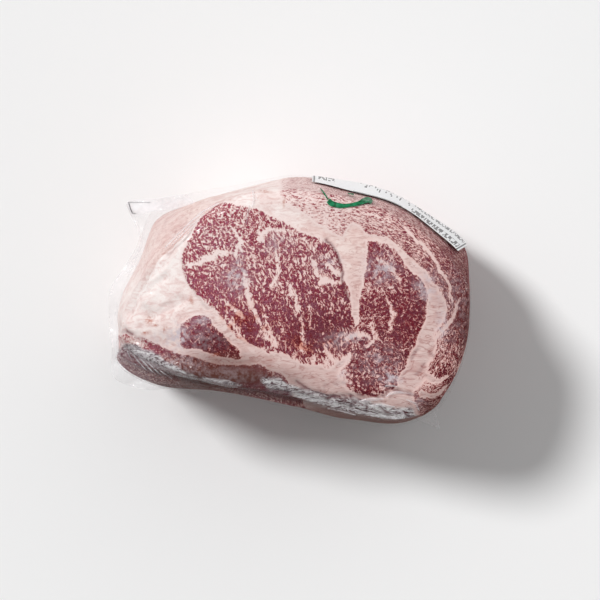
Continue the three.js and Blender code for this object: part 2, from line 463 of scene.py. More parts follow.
# Patches of the face: middle (x, y), reach along x and y, and what they add to the lean's share, the
# fineness of the flecks, the milky veil under the film with its painted glints, the redness of the lean,
# the depth of its tone with painted shade, and a dull brown
patches = [
    (-50, 40, 22, 26, {"lean": -0.03, "fine": -0.5}),
    (-45, 10, 16, 16, {"lean": 0.12}),
    (-26, -14, 16, 14, {"lean": 0.2, "toneAndShade": 0.1}),
    (-55, -22, 22, 12, {"toneAndShade": 0.5, "lean": 0.15}),
    (-70, -44, 44, 12, {"toneAndShade": 0.5}),
    (5, 45, 30, 8, {"lean": -0.05}),
    (18, -14, 24, 18, {"lean": 0.25, "toneAndShade": 0.2}),
    (12, -24, 14, 10, {"lean": 0.1, "red": 1.0}),
    (-25, -14, 14, 12, {"red": 0.7}),
    (-40, -12, 8, 12, {"lean": 0.05, "red": 0.7}),
    (2, -42, 16, 7, {"lean": -0.3}),
    (26, -48, 12, 9, {"lean": -0.5}),
    (75, 0, 16, 18, {"lean": 0.12}),
    (52, -52, 12, 8, {"lean": 0.12, "fine": -1.0}),
    (12, 66, 30, 12, {"lean": -0.25}),
    (28, 54, 12, 8, {"lean": -0.12}),
    (92, 25, 12, 12, {"lean": 0.12}),
    (110, 5, 12, 30, {"lean": 0.25, "veilAndGlint": 0.2, "brown": 0.12}),
    (116, -18, 7, 24, {"lean": 0.15, "brown": 0.15}),
    (94, -66, 12, 10, {"lean": 0.1, "brown": 0.2}),
    (103, -48, 8, 12, {"lean": 0.3}),
    (-37, 18, 9, 9, {"veilAndGlint": 0.6}),
    (-34, 24, 5, 12, {"veilAndGlint": 0.4}),
    (-10, 40, 10, 7, {"veilAndGlint": 0.35}),
    (23, 28, 9, 5, {"veilAndGlint": 0.5}),
    (60, 24, 10, 9, {"veilAndGlint": 0.75}),
    (89, 12, 7, 9, {"veilAndGlint": 0.7}),
    (39, -21, 9, 3, {"veilAndGlint": 0.6}),
    (58, -38, 14, 12, {"veilAndGlint": 0.4}),
    (66, -48, 7, 5, {"veilAndGlint": 0.7}),
    (35, -46, 6, 7, {"veilAndGlint": 0.3}),
    (85, -64, 5, 6, {"veilAndGlint": 0.3}),
    (30, -24, 10, 6, {"veilAndGlint": 0.3}),
    (-74, -20, 6, 8, {"veilAndGlint": 0.8}),
    (-84, -22, 12, 6, {"veilAndGlint": 0.4, "brown": 0.12}),
    (-46, -28, 16, 8, {"lean": 0.1, "toneAndShade": 0.3}),
    (-58, -10, 6, 4, {"veilAndGlint": 0.6}),
    (-57, -22, 14, 9, {"veilAndGlint": 0.25}),
    (-45, -47, 40, 7, {"veilAndGlint": 0.2, "lean": 0.1, "brown": 0.8}),
    (-46, -36, 26, 5, {"toneAndShade": 0.5, "brown": 0.3}),
    (-30, -48, 14, 6, {"lean": 0.3, "brown": 0.15}),
    (-78, -38, 16, 6, {"veilAndGlint": 0.4, "lean": -0.3, "brown": 0.2}),
    (-108, -24, 12, 6, {"lean": -0.5, "brown": 0.15}),
    (100, -14, 4, 12, {"veilAndGlint": 0.5}),
]

# Small blood spots in the fat: middle on the plan and reach
stains = [
    (-17, 76, 4.0, 1.0), (-40, 70, 1.6, 1.2), (-43, 73, 1.4, 1.4), (-5, 67, 1.2, 2.4),
    (-94, -10, 2.4, 3.0), (-84, -16, 1.4, 2.6), (-90, -13, 1.2, 1.2), (-78, -22, 2.0, 1.2),
    (-96, -19, 3.0, 1.0), (-71, 54, 1.0, 4.0), (-60, 62, 1.0, 2.0), (-50, -33, 3.0, 1.0),
    (-66, 3, 1.4, 3.0),
]

# Creases: half width, how dark the painted shade in it is, how deep its dent, and points on the plan
creases = [
    (0.8, 0.75, 1.6, [(4, -51.5), (19, -61), (36, -61), (53, -61), (61, -61), (65, -57), (72, -57),
     (82, -59)]),
    (0.75, 1.0, 1.0, [(20, -66), (26, -63), (32, -62)]),
    (0.75, 1.0, 1.0, [(34, -65), (40, -63), (52, -65)]),
    (0.75, 0.8, 1.0, [(38, -68), (43, -66), (50, -68)]),
    (0.75, 1.0, 1.0, [(50, -69), (51, -73), (55, -76), (57, -74)]),
    (0.75, 0.8, 1.0, [(59, -69), (66, -74), (72, -76), (77, -73)]),
    (0.75, 0.8, 0.8, [(69, -70), (75, -72)]),
    (1.0, 0.25, 0.8, [(7, -56), (14, -58), (22, -58)]),
    (0.8, 0.25, 0.6, [(22, -53), (30, -52), (36, -52)]),
    (0.75, 0.9, 0.8, [(24, 43), (29.5, 35), (33, 24), (35.5, 13), (38, 3)]),
    (0.75, 0.25, 0.8, [(-72, 28), (-68, 16), (-60, 4), (-54, -3)]),
    (1.2, 0.8, 2.0, [(-116, -15), (-112, -17), (-107, -19)]),
    (1.6, 0.35, 0.8, [(-107, -19), (-98, -24), (-86, -30), (-78, -36)]),
    (2.2, 0.12, 2.6, [(-93, 28), (-99, 18), (-106, 6), (-110, -4)]),
    (1.8, 0.1, 2.4, [(-73, 3), (-82, -3), (-92, -7), (-98, -4)]),
    (2.0, 0.06, 2.2, [(-112, -4), (-104, 6), (-95, 12), (-84, 17)]),
    (1.8, 0.06, 1.8, [(-92, 20), (-86, 28), (-80, 38)]),
    (1.0, 0.25, 1.2, [(-68, 49), (-76, 39), (-83, 34)]),
    (0.6, 0.2, 0.8, [(-67, 58), (-76, 49), (-85, 40)]),
    (0.75, 0.5, 0.5, [(83, -30), (80, -35)]),
    (0.75, 0.6, 0.5, [(91, -31), (94, -34)]),
    (0.75, 0.5, 0.5, [(83, -46), (89, -39)]),
]

# Silvery membrane and film pressed on it, whitish partly as painted glare of the film: points on the plan
# with the half width there
silver = [
    [(-16, -50, 3), (-6, -56, 5.5), (6, -63, 7.5), (20, -68, 8), (36, -71, 8), (52, -73, 8), (66, -75, 7),
     (78, -72, 4)],
    [(-112, -27, 1.5), (-105.6, -30, 3.6), (-97.7, -33.7, 4.2), (-88.4, -38.6, 3.8), (-79.2, -42.6, 3.0),
     (-68.6, -47.2, 1.8), (-61.4, -49.2, 1.0)],
    [(-61, -50, 1.0), (-50, -51.6, 2.4), (-39, -53.8, 2.4), (-34, -54.4, 1.0)],
]


def segmentDistance(xy, a, b):
    # distance to a stretch from a to b and the share of the way along it
    run = b - a
    t = np.clip(((xy - a) @ run) / (run @ run), 0, 1)
    return np.linalg.norm(xy - a - t[:, None] * run, axis=1), t


def insideDistance(xy, outline):
    # signed distance to a smoothed closed outline, positive inside
    points = np.array(outline, dtype=float)
    fine = curveAt(points, np.arange(len(points) * 3) / 3)[0]
    nearest = np.full(len(xy), 1e9)
    inside = np.zeros(len(xy), dtype=bool)
    for a, b in zip(fine, np.roll(fine, -1, axis=0)):
        nearest = np.minimum(nearest, segmentDistance(xy, a, b)[0])
        crosses = (a[1] > xy[:, 1]) != (b[1] > xy[:, 1])
        reach = (b[0] - a[0]) * (xy[:, 1] - a[1]) / (b[1] - a[1] + 1e-12) + a[0]
        inside ^= crosses & (xy[:, 0] < reach)
    return np.where(inside, nearest, -nearest)


def seamDistance(xy, path, half=None):
    # how far outside a seam's edge a place is, negative within it
    points = np.array([list(p[:2]) + [half if half is not None else p[2]] for p in path], dtype=float)
    fine = curveAt(points, np.arange((len(points) - 1) * 3 + 1) / 3, closed=False)[0]
    best = np.full(len(xy), 1e9)
    for a, b in zip(fine[:-1], fine[1:]):
        distance, t = segmentDistance(xy, a[:2], b[:2])
        best = np.minimum(best, distance - lerp(a[2], b[2], t))
    return best


def spotWeight(xy, x, y, reachX, reachY):
    return bell(np.linalg.norm((xy - (x, y)) / (reachX, reachY), axis=1))


# How the outlines are drawn: how far they waver, grow and fade into each other, how strongly the
# lean's share varies, and what the veins and the seams take from it
faceLook = {"waver": 1.1, "grow": 1.6, "fade": 6, "middle": 0.495, "spread": 0.28, "vein": 0.16, "seam": 0.5,
            "dentReach": 1.7}


def faceFields(xy):
    # what the cut face is made of at each place of the plan
    flat = np.column_stack([xy, np.zeros(len(xy))])
    waver = [bumps(flat, 7, seed) + 0.5 * bumps(flat, 3, seed + 2) for seed in (1, 2)]
    bent = xy + np.stack(waver, 1) * faceLook["waver"]
    depth = np.full(len(xy), -1e9)
    total = np.full(len(xy), 1e-6)
    fields = {key: np.zeros(len(xy)) for key in ("lean", "stroke", "fine")}
    for name, muscle in muscles.items():
        inside = insideDistance(bent, muscle["outline"]) + faceLook["grow"]
        depth = np.maximum(depth, inside)
        share = smooth((inside + 4) / faceLook["fade"]) + 1e-6
        total += share
        for key in ("lean", "stroke", "fine"):
            fields[key] += muscle[key] * share
        if name == "cap":
            fields["cap"] = inside
    for key in ("lean", "stroke", "fine"):
        fields[key] /= total
    for path in seams:
        depth = np.minimum(depth, seamDistance(bent, path) * 1.2)
    fields.update({key: np.zeros(len(xy)) for key in ("veilAndGlint", "red", "brown")})
    # the meat is paler towards the tail and the fat cap and deeper towards the chine and the ribs,
    # and this darkening to the lower right, away from the key light, is partly painted shade
    fields["toneAndShade"] = np.clip((xy[:, 0] * 0.75 - xy[:, 1] * 0.66 + 90) / 180, 0, 1)
    for x, y, reachX, reachY, added in patches:
        weight = spotWeight(xy, x, y, reachX, reachY)
        for key, amount in added.items():
            fields[key] += weight * amount
    fields["lean"] = faceLook["middle"] + (fields["lean"] - 0.5) * faceLook["spread"]
    fields["lean"] += 0.025 * bumps(flat, 11, 6) + 0.02 * bumps(flat, 5, 7)
    # towards a seam or a vein the meat turns to fat
    for path in veins:
        fields["lean"] -= faceLook["vein"] * bell(np.maximum(seamDistance(bent, path) * 0.8 + 0.6, 0))
    fields["lean"] -= faceLook["seam"] * (1 - smooth((depth + 1.8) / 3.2))
    fields["creaseShade"] = np.zeros(len(xy))
    fields["dent"] = np.zeros(len(xy))
    for half, dark, deep, path in creases:
        off = seamDistance(bent, path, 0) / half
        fields["creaseShade"] = np.maximum(fields["creaseShade"], bell(off) * dark)
        fields["dent"] = np.maximum(fields["dent"], bell(off / faceLook["dentReach"]) * deep)
    fields["stain"] = np.zeros(len(xy))
    for stain in stains:
        fields["stain"] = np.maximum(fields["stain"], spotWeight(bent, *stain))
    membraneGlare = np.zeros(len(xy))
    for path in silver:
        membraneGlare = np.maximum(membraneGlare, 1 - smooth((seamDistance(bent, path) + 1.0) / 2.2))
    fields["membraneGlare"] = membraneGlare
    fields["depth"] = depth
    return fields


# The meat: the block's skin a little inside the film, with dented seams and swollen muscles
meatLook = {"columns": 180, "ranks": 120, "rows": 90, "edgeShare": 0.16, "footShare": 0.08, "filmGap": 0.3,
            "seamDent": 0.5, "swell": 0.5, "girth": 640, "wallRun": 150, "footRun": 20}
mesh, turn, drop = gridBlock("ribeye_meat", meatLook)
standOff = planAt(turn, 5, 6)[0][:, 0] * smooth((drop - 1.9) * 5) + meatLook["filmGap"]
outer = skin(turn, drop, standOff)
rim = planAt(turn, 0, 2)[0]
belly, bellySlope = planAt(turn, 2, 4)
bellyX, outward = belly[:, 0], outwardOf(bellySlope)
onSide = drop > 1.5
# down the walls the muscles and seams drift along, and fade out under the foot
drift = smooth((drop - 2) * 1.5) * (bumps(outer, 34, 31) * 0.014 + bumps(outer, 11, 32) * 0.004)
driftRim, driftSlope = planAt(turn + drift, 0, 2)
sideXy = driftRim - outwardOf(driftSlope) * 1.5
xy = np.where(onSide[:, None], lerp(outer[:, :2], sideXy, smooth((drop - 1.5) * 2)[:, None]), outer[:, :2])
fields = faceFields(xy)
dent = fields["dent"] * (drop < 2) + meatLook["seamDent"] * (1 - smooth((fields["depth"] + 2) / 3))
dent += meatLook["swell"] * (1 + bumps(outer, 16, 5)) * 0.5
place = skin(turn, drop, standOff + dent)

# the rib side under the edge: brown-red lean between the bones and thin membrane over them
under = drop - 0.17 * smooth((bellyX + 5) / 20)
reach = ribReach(outward, bellyX) * smooth((under - 1.9) * 8) * (drop < 4)
ribLean = np.where(grooveDepth(bellyX, place[:, 2]) > 1, 0.66, 0.52)
fields["lean"] = lerp(fields["lean"], ribLean, reach)
fields["membraneGlare"] = lerp(fields["membraneGlare"], 0.08, reach)
# no muscle runs out through the fat of the north-west side
northWest = bell((np.mod(turn, 1) * stationCount - 8.9) / 1.5) * smooth((drop - 1.75) * 5) * (drop < 4.2)
fields["lean"] -= 0.6 * northWest
fields["depth"] = lerp(fields["depth"], -6, northWest)
fields["toneAndShade"] += 0.6 * northWest
# browner in the bone grooves: the lean's own colour, deepened there as painted shade in the recesses
brown = np.zeros(len(turn))
for level in ribLevels(bellyX):
    brown = np.maximum(brown, bell((place[:, 2] - level + 4) / 12))
ribBrownShade = np.maximum(reach * brown * 0.45, np.clip(fields["brown"], 0, 0.8) * (drop < 2.3))
# under the pressed membrane the wall is dark lean all along the rib side, its dark brown partly
# painted shade where that wall faces away from the light
below = ribFacing(outward) * smooth((bellyX + 10) / 30) * smooth((drop - 2.04) * 12) * (drop < 4)
ribBrownShade = np.maximum(ribBrownShade, below * 0.55)
fields["membraneGlare"] *= 1 - below

# grain in millimetres: across the cut as it is, round the block in the cap, stretched down the sides
inCap = smooth((fields["cap"] + 1) / 2)
fields["stroke"] *= (1 - spotWeight(place[:, :2], -48, 42, 26, 26)) * (1 - inCap)
flatGrain = np.column_stack([place[:, 0] + place[:, 1] * 0.15, place[:, 1], place[:, 2] * 0.35])
toRim = np.linalg.norm(rim, axis=1)
shoulder = planAt(turn, 4, 5)[0][:, 0]
run = toRim * (1 - np.minimum(drop, 1))
run -= shoulder * 1.5 * np.clip(drop - 1, 0, 1) + meatLook["wallRun"] * np.clip(drop - 2, 0, 1)
run -= meatLook["footRun"] * np.clip(drop - 3, 0, 1) + toRim * np.clip(drop - 4, 0, 1)
arc = np.mod(turn, 1) * meatLook["girth"]
capGrain = np.column_stack([run * 1.5, arc * 0.5, np.zeros(len(run))])
addField(mesh, "grain", np.where(inCap[:, None] > 0.5, capGrain, flatGrain))
onFace = 1 - smooth((drop - 1.85) * 4)
for key in ("veilAndGlint", "red", "stain", "creaseShade"):
    fields[key] *= onFace
fields["ribsideBrownShade"] = 1 - (1 - ribBrownShade)**2
fields["fatness"] = smooth((0.3 - fields["depth"]) / 1.6) * (1 - reach)
meatFields = ("lean", "stroke", "fine", "veilAndGlint", "red", "stain", "creaseShade", "membraneGlare", "toneAndShade", "ribsideBrownShade",
              "fatness")
for key in meatFields:
    addField(mesh, key, fields[key])


# Patterns of the meat. On the grain they go by the millimetre: 0.6 is a fleck every 1.7 mm. On the
# object's place they go by the metre: 180 is a spot every 5.6 mm.
meatFinish = {
    "fleck": 0.6, "closeFleck": 0.95, "vein": 0.3, "fibre": 1.7, "bend": 0.15, "bendBy": 6,
    "blush": 70.0, "foldShade": (95, 260, 260), "wrinkle": (70, 210, 150), "blood": 180.0, "stain": 700.0,
    "mistAndGlint": 300.0, "membraneGlare": (220, 620, 420),
}


def fleckMask(tree, warped, field):
    # 0 in fat and 1 in lean: flecks 2 to 4 mm apart, the same drawn out along the fibres, a closer
    # set for the finer muscles, and fine veins of fat between them
    kind = {"Detail": 4.0, "Roughness": 0.64, "Distortion": 0.3}
    even = addNode(tree, "TexNoise", {"Vector": warped, "Scale": meatFinish["fleck"], **kind})
    drawn = addNode(tree, "VectorMath", {0: warped, 1: (1.25, 0.5, 1)}, operation="MULTIPLY")
    drawn = addNode(tree, "TexNoise", {"Vector": drawn, "Scale": meatFinish["fleck"], **kind})
    close = addNode(tree, "TexNoise", {"Vector": warped, "Scale": meatFinish["closeFleck"], **kind})
    flecks = addNode(tree, "Mix", {0: field["stroke"], 2: even, 3: drawn})
    flecks = addNode(tree, "Mix", {0: field["fine"], 2: flecks, 3: close})
    vein = windingLines(tree, warped, meatFinish["vein"], 0.03, 0.1, Roughness=0.5)
    over = addNode(tree, "Math", {0: field["lean"], 1: flecks}, operation="SUBTRACT")
    over = addNode(tree, "Math", {0: over, 1: vein}, operation="SUBTRACT")
    return addNode(tree, "Math", {0: over, 1: 4.5, 2: 0.5}, operation="MULTIPLY_ADD", use_clamp=True)


def leanColour(tree, warped, place, mask, field):
    # where the cut is fatty a fleck is darkest at its edge, and where it is lean it is dark throughout
    pale = [(0.0, "#f6e6e3"), (0.34, "#f0d0cb"), (0.44, "#c87c80"), (0.53, "#9a223c"), (0.72, "#b44e68"),
            (1.0, "#cc90a4")]
    deep = [(0.0, "#e8c8c2"), (0.34, "#deb0a8"), (0.44, "#b05c58"), (0.53, "#7a1e2c"), (0.72, "#60141e"),
            (1.0, "#702a38")]
    pale, deep = (addNode(tree, "ValToRGB", {0: mask}, stops=stops) for stops in (pale, deep))
    # the deeper set, taken towards the lower right, is partly painted shade
    muscle = addNode(tree, "Mix", {0: field["toneAndShade"], 6: pale, 7: deep}, **inColour)
    # single fibres in the lean, lighter and darker
    fibre = addNode(tree, "TexNoise", {"Vector": warped, "Scale": meatFinish["fibre"], "Detail": 2.0,
                                       "Roughness": 0.6})
    fibre = addNode(tree, "ValToRGB", {0: fibre}, stops=[(0.36, "#8c6068"), (0.5, "#dcc4c8"),
                                                         (0.62, "#ffffff")])
    muscle = addNode(tree, "Mix", {0: mask, 6: muscle, 7: fibre}, **darkening)
    # fresher red where the cut is bloody
    bloody = speckle(tree, place, meatFinish["blood"], (0.42, 0.6), (0.0, 1.0))
    bloody = addNode(tree, "Math", {0: field["red"], 1: bloody}, operation="MULTIPLY", use_clamp=True)
    return addNode(tree, "Mix", {0: bloody, 6: muscle, 7: "#e8a890"}, **darkening)


def fatColour(tree, place, toneAndShade):
    # creamy fat with a soft blush, deeper to the lower right partly as painted shade, painted shade in
    # shallow folds and, where it is deeper, thin wrinkles of painted shade
    fat = addNode(tree, "ValToRGB", {0: toneAndShade}, stops=[(0.0, "#fcf4f1"), (0.25, "#faede9"), (0.5, "#f4e0da"),
                                                      (0.75, "#e8d0cb"), (1.0, "#dcc3be")])
    soft = speckle(tree, place, meatFinish["blush"], (0.42, 0.68), (0.0, 0.5), Detail=4.0, Roughness=0.6,
                   Distortion=0.8)
    fat = addNode(tree, "Mix", {0: soft, 6: fat, 7: "#e6c9c7"}, **darkening)
    foldShade = addNode(tree, "VectorMath", {0: place, 1: meatFinish["foldShade"]}, operation="MULTIPLY")
    foldShade = speckle(tree, foldShade, 1.0, (0.46, 0.68), (0.0, 0.5), Detail=4.0, Roughness=0.6, Distortion=1.2)
    fat = addNode(tree, "Mix", {0: foldShade, 6: fat, 7: "#dcb7b3"}, **darkening)
    wrinkleShade = addNode(tree, "Mix", {0: toneAndShade, 6: fat, 7: "#c49694"}, **darkening)
    return addWrinkles(tree, place, meatFinish["wrinkle"], 0, 0.032, fat, wrinkleShade)


def silverColour(tree, place, toneAndShade):
    # silvery membrane, mottled by the meat behind it, its whitest specks partly painted glare of the film,
    # with painted shade in dark wrinkles and painted glints along bright ones, darker to the left as painted
    # shade and brighter to the right as painted sheen
    along = addNode(tree, "VectorMath", {0: place, 1: meatFinish["membraneGlare"]}, operation="MULTIPLY")
    speck = addNode(tree, "TexNoise", {"Vector": along, "Scale": 1.0, "Detail": 5.0, "Roughness": 0.66,
                                       "Distortion": 0.8})
    mottle = addNode(tree, "TexNoise", {"Vector": along, "Scale": 0.22, "Detail": 2.0, "Roughness": 0.5})
    speck = addNode(tree, "Mix", {0: 0.3, 2: speck, 3: mottle})
    silvery = addNode(tree, "ValToRGB", {0: speck}, stops=[(0.4, "#452b2f"), (0.455, "#8c7a7e"),
                                                           (0.49, "#cdc5c9"), (0.535, "#ffffff")])
    dull = addNode(tree, "Mix", {0: 1.0, 6: silvery, 7: "#948b90"}, **darkening)
    silvery = addNode(tree, "Mix", {0: toneAndShade, 6: dull, 7: silvery}, **inColour)
    silvery = addWrinkles(tree, along, (0.3, 0.3, 0.3), 0, 0.03, silvery, "#3f262b")
    return addWrinkles(tree, along, (0.3, 0.3, 0.3), 40, 0.022, silvery, "#ffffff")


def addWrinkles(tree, vector, stretch, away, half, colour, tint):
    # winding lines along the longer way of a stretched noise
    moved = {0: vector, 1: stretch, 2: (away, away, 0)}
    moved = addNode(tree, "VectorMath", moved, operation="MULTIPLY_ADD")
    line = windingLines(tree, moved, 1.0, half, 0.8, Roughness=0.5, Distortion=1.2)
    return addNode(tree, "Mix", {0: line, 6: colour, 7: tint}, **inColour)


def buildMeat(material):
    tree = material.node_tree
    field = readFields(tree, meatFields)
    grain = addNode(tree, "Attribute", {}, out="Vector", attribute_name="grain")
    place = addNode(tree, "TexCoord", {}, out="Object")
    bend = {"Vector": grain, "Scale": meatFinish["bend"], "Detail": 2.0}
    bend = addNode(tree, "TexNoise", bend, out="Color")
    bend = addNode(tree, "VectorMath", {0: bend, 1: (0.5, 0.5, 0.5)}, operation="SUBTRACT")
    by = (meatFinish["bendBy"],) * 3
    warped = addNode(tree, "VectorMath", {0: bend, 1: by, 2: grain}, operation="MULTIPLY_ADD")
    mask = fleckMask(tree, warped, field)
    muscle = leanColour(tree, warped, place, mask, field)
    fat = fatColour(tree, place, field["toneAndShade"])
    colour = addNode(tree, "Mix", {0: field["fatness"], 6: muscle, 7: fat}, **inColour)
    blot = speckle(tree, place, meatFinish["stain"], (0.35, 0.6), (0.1, 0.9))
    blot = addNode(tree, "Math", {0: field["stain"], 1: blot}, operation="MULTIPLY")
    # the milky veil is moisture between the film and the cut, and its brightest specks are painted glints
    # of the film
    veilAndGlint = speckle(tree, place, meatFinish["mistAndGlint"], (0.42, 0.64), (0.1, 1.3), Detail=3.0, Roughness=0.6)
    veilAndGlint = addNode(tree, "Math", {0: field["veilAndGlint"], 1: veilAndGlint}, operation="MULTIPLY", use_clamp=True)
    membraneGlare = addNode(tree, "Math", {0: field["membraneGlare"], 1: 0.9}, operation="MULTIPLY")
    # the dark colour laid in the creases is painted shade
    layers = [(blot, "#b4654c"), (field["ribsideBrownShade"], "#5a3228"), (veilAndGlint, "#cbbec4"),
              (membraneGlare, silverColour(tree, place, field["toneAndShade"])), (field["creaseShade"], "#6b343c")]
    for share, layer in layers:
        colour = addNode(tree, "Mix", {0: share, 6: colour, 7: layer}, **inColour)
    bump = addNode(tree, "Bump", {"Strength": 0.3, "Distance": -0.0003, "Height": mask})
    shader = addNode(tree, "BsdfPrincipled", {"Base Color": colour, "Roughness": 0.5, "Normal": bump,
                                              "Specular IOR Level": 0.0})
    addNode(tree, "OutputMaterial", {"Surface": shader})


# raw beef cut across the grain: pink fat flecked through dark lean, matt under its glossy film
meatMaterial = newMaterial("marbled raw beef")
buildMeat(meatMaterial)
makePiece(mesh, place, meatMaterial)

# The shrink film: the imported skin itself, with its wrinkles standing out
filmLook = {
    "columns": 180, "ranks": 124, "rows": 76, "edgeShare": 0.2, "footShare": 0.08,
    # wrinkles: height, spacing of the pulled and the crumpled ones, and their shares
    "crumple": 0.35, "pullSize": 9, "crumpleSize": 7, "pulled": 1.6, "crumpled": 0.25, "southCrumpled": 1.4,
    # ridges beside the first creases: how many, how far off, half width and height
    "ridges": 8, "ridgeOff": 1.6, "ridgeHalf": 0.9, "ridgeHigh": 0.5,
    # haze, with the stations in whose reach it is slack or spans the bone grooves
    "clearHaze": 0.002, "wallHaze": 0.005, "slackHaze": 0.07, "slackAt": 9.0, "slackHalf": 1.2,
    "grooveHaze": 0.1, "grooveAt": 13.5, "grooveHalf": 1.1,
}
filmMesh, turn, drop = gridBlock("shrink_film", filmLook)
filmPlace = skin(turn, drop, np.zeros(len(turn)))
station = np.mod(turn, 1) * stationCount
ridge = np.zeros(len(turn))
for *_, path in creases[:filmLook["ridges"]]:
    off = seamDistance(filmPlace[:, :2], path, 0) - filmLook["ridgeOff"]
    ridge += bell(off / filmLook["ridgeHalf"]) * filmLook["ridgeHigh"]
south = smooth((-outwardOf(planAt(turn, 2, 4)[1])[:, 1] - 0.2) * 2)
edgeZone = smooth((drop - 0.9) * 5) * (drop < 4)
# wrinkles run up and down the sides and across the edges
around = np.column_stack([np.mod(turn, 1) * meatLook["girth"], filmPlace[:, 2] * 0.25, np.zeros(len(turn))])
pull = (1 - np.abs(bumps(around, filmLook["pullSize"], 11)))**4
crumple = (1 - np.abs(bumps(filmPlace, filmLook["crumpleSize"], 12)))**4
crumple *= filmLook["crumpled"] + south * edgeZone * filmLook["southCrumpled"]
rise = filmLook["crumple"] * (pull * edgeZone * filmLook["pulled"] + crumple) + ridge
wall = smooth((drop - 1.7) * 3) * (drop < 3.6)
# whitish where it hangs slack at the upper left and where it spans the bone grooves
slack = bell((station - filmLook["slackAt"]) / filmLook["slackHalf"])
grooved = bell((station - filmLook["grooveAt"]) / filmLook["grooveHalf"])
haze = filmLook["wallHaze"] + filmLook["slackHaze"] * slack + filmLook["grooveHaze"] * grooved
filmPlace = skin(turn, drop, -rise * smooth((3.9 - drop) * 4))
addField(filmMesh, "haze", filmLook["clearHaze"] + wall * haze)


def buildFilm(material):
    # ripples 6 mm apart and clouds 22 mm apart, on the object's place in metres
    tree = material.node_tree
    place = addNode(tree, "TexCoord", {}, out="Object")
    ripple = addNode(tree, "TexNoise", {"Vector": place, "Scale": 160.0, "Detail": 3.0, "Roughness": 0.55})
    bump = addNode(tree, "Bump", {"Strength": 0.25, "Distance": 0.0003, "Height": ripple})
    clear = addNode(tree, "BsdfTransparent", {"Color": (0.99, 0.99, 0.99, 1)})
    cloudy = addNode(tree, "BsdfDiffuse", {"Color": "#f4f2f5", "Normal": bump})
    cloud = speckle(tree, place, 45.0, (0.3, 0.7), (0.5, 1.5), Detail=3.0, Roughness=0.6)
    haze = readFields(tree, ["haze"])["haze"]
    share = addNode(tree, "Math", {0: haze, 1: cloud}, operation="MULTIPLY", use_clamp=True)
    body = addNode(tree, "MixShader", {0: share, 1: clear, 2: cloudy})
    gloss = addNode(tree, "BsdfAnisotropic", {"Color": (1, 1, 1, 1), "Roughness": 0.16, "Normal": bump})
    facing = addNode(tree, "Fresnel", {"IOR": 1.42, "Normal": bump})
    facing = addNode(tree, "MapRange", {0: facing, 1: 0.02, 2: 1.0, 3: 0.01, 4: 0.036})
    surface = addNode(tree, "MixShader", {0: facing, 1: body, 2: gloss})
    addNode(tree, "OutputMaterial", {"Surface": surface})


# clear shrink film, glossy, whitish where it stands off or folds
filmMaterial = newMaterial("clear shrink film")
buildFilm(filmMaterial)
makePiece(filmMesh, filmPlace, filmMaterial)

# The loose film edges: flat wings where the bag's ends were pressed together
wings = {
    "film_tail_wing": {
        "edge": [(-72, 76), (-91, 73), (-112, 71), (-111, 62), (-105, 46), (-114, 28), (-125, 10),
                 (-126, -14), (-124, -31), (-125, -43), (-121, -52), (-109, -57), (-95, -59), (-78, -57)],
        "along": 420, "across": 40, "level": 86, "fall": 18, "haze": 0.22,
    },
    "film_chine_ear": {
        "edge": [(84, -79), (94, -83), (103, -86), (102, -79), (100, -68)],
        "along": 80, "across": 24, "level": 60, "fall": 0, "haze": 0.18,
    },
}
wingLook = {"reach": 0.18, "ruffle": 2.6, "ruffleCount": 7, "fine": 0.7, "pressed": 0.45,
            "pressedAt": (-112, 66), "pressedLean": 0.1, "pressedHalf": 4, "pressedFrom": -118,
            "pressedRun": 8}


def gridSheet(name, along, across):
    bm = bmesh.new()
    bmesh.ops.create_grid(bm, x_segments=along, y_segments=across, size=0.5)
    return meshFrom(bm, name)


def makeWing(name, wing):
    sheet = gridSheet(name, wing["along"], wing["across"])
    co = readPlaces(sheet)
    t = co[:, 0] + 0.5
    out = co[:, 1] + 0.5
    edge = np.array(wing["edge"], dtype=float)
    spot = curveAt(edge, t * (len(edge) - 1), closed=False)[0]
    spot = spot * (1 - wingLook["reach"] * (1 - out))[:, None]
    ruffle = np.sin(t * wingLook["ruffleCount"] * 2 * math.pi) * wingLook["ruffle"] * out
    where = np.column_stack([spot, np.zeros(len(spot))])
    ruffle += (bumps(where, 9, 21) * 2 + bumps(where, 3.5, 22)) * wingLook["fine"] * out
    level = wing["level"] - wing["fall"] * t + ruffle
    # the upper corner is pressed whiter, under its mark
    atX, atY = wingLook["pressedAt"]
    off = spot[:, 1] - atY - (spot[:, 0] - atX) * wingLook["pressedLean"]
    pressed = bell(off / wingLook["pressedHalf"])
    pressed *= smooth((spot[:, 0] - wingLook["pressedFrom"]) / wingLook["pressedRun"])
    pressed *= wingLook["pressed"] * (out > 0.4)
    addField(sheet, "haze", wing["haze"] * (0.5 + 0.8 * out**3) + pressed)
    wingPlace = np.column_stack([spot, level])
    makePiece(sheet, wingPlace, filmMaterial)
    return wingPlace


wingPlaces = {name: makeWing(name, wing) for name, wing in wings.items()}

# The label: its stretch of the side as turns round the block and shares down the wall
label = {"from": 7 / 80, "to": 20 / 80, "low": 9 / 30, "high": 24 / 30, "gap": 0.4, "thick": 0.4,
         "along": 130, "rows": 40}
labelMesh = gridSheet("wrap_label", label["along"], label["rows"])
co = readPlaces(labelMesh)
labelTurn = lerp(label["from"], label["to"], co[:, 0] + 0.5)
labelDrop = 3 - lerp(label["low"], label["high"], co[:, 1] + 0.5)
labelPlace = skin(labelTurn, labelDrop, np.full(len(co), -(label["gap"] + label["thick"])))
addField(labelMesh, "sheet", np.column_stack([co[:, 0] + 0.5, co[:, 1] + 0.5, np.zeros(len(co))]))


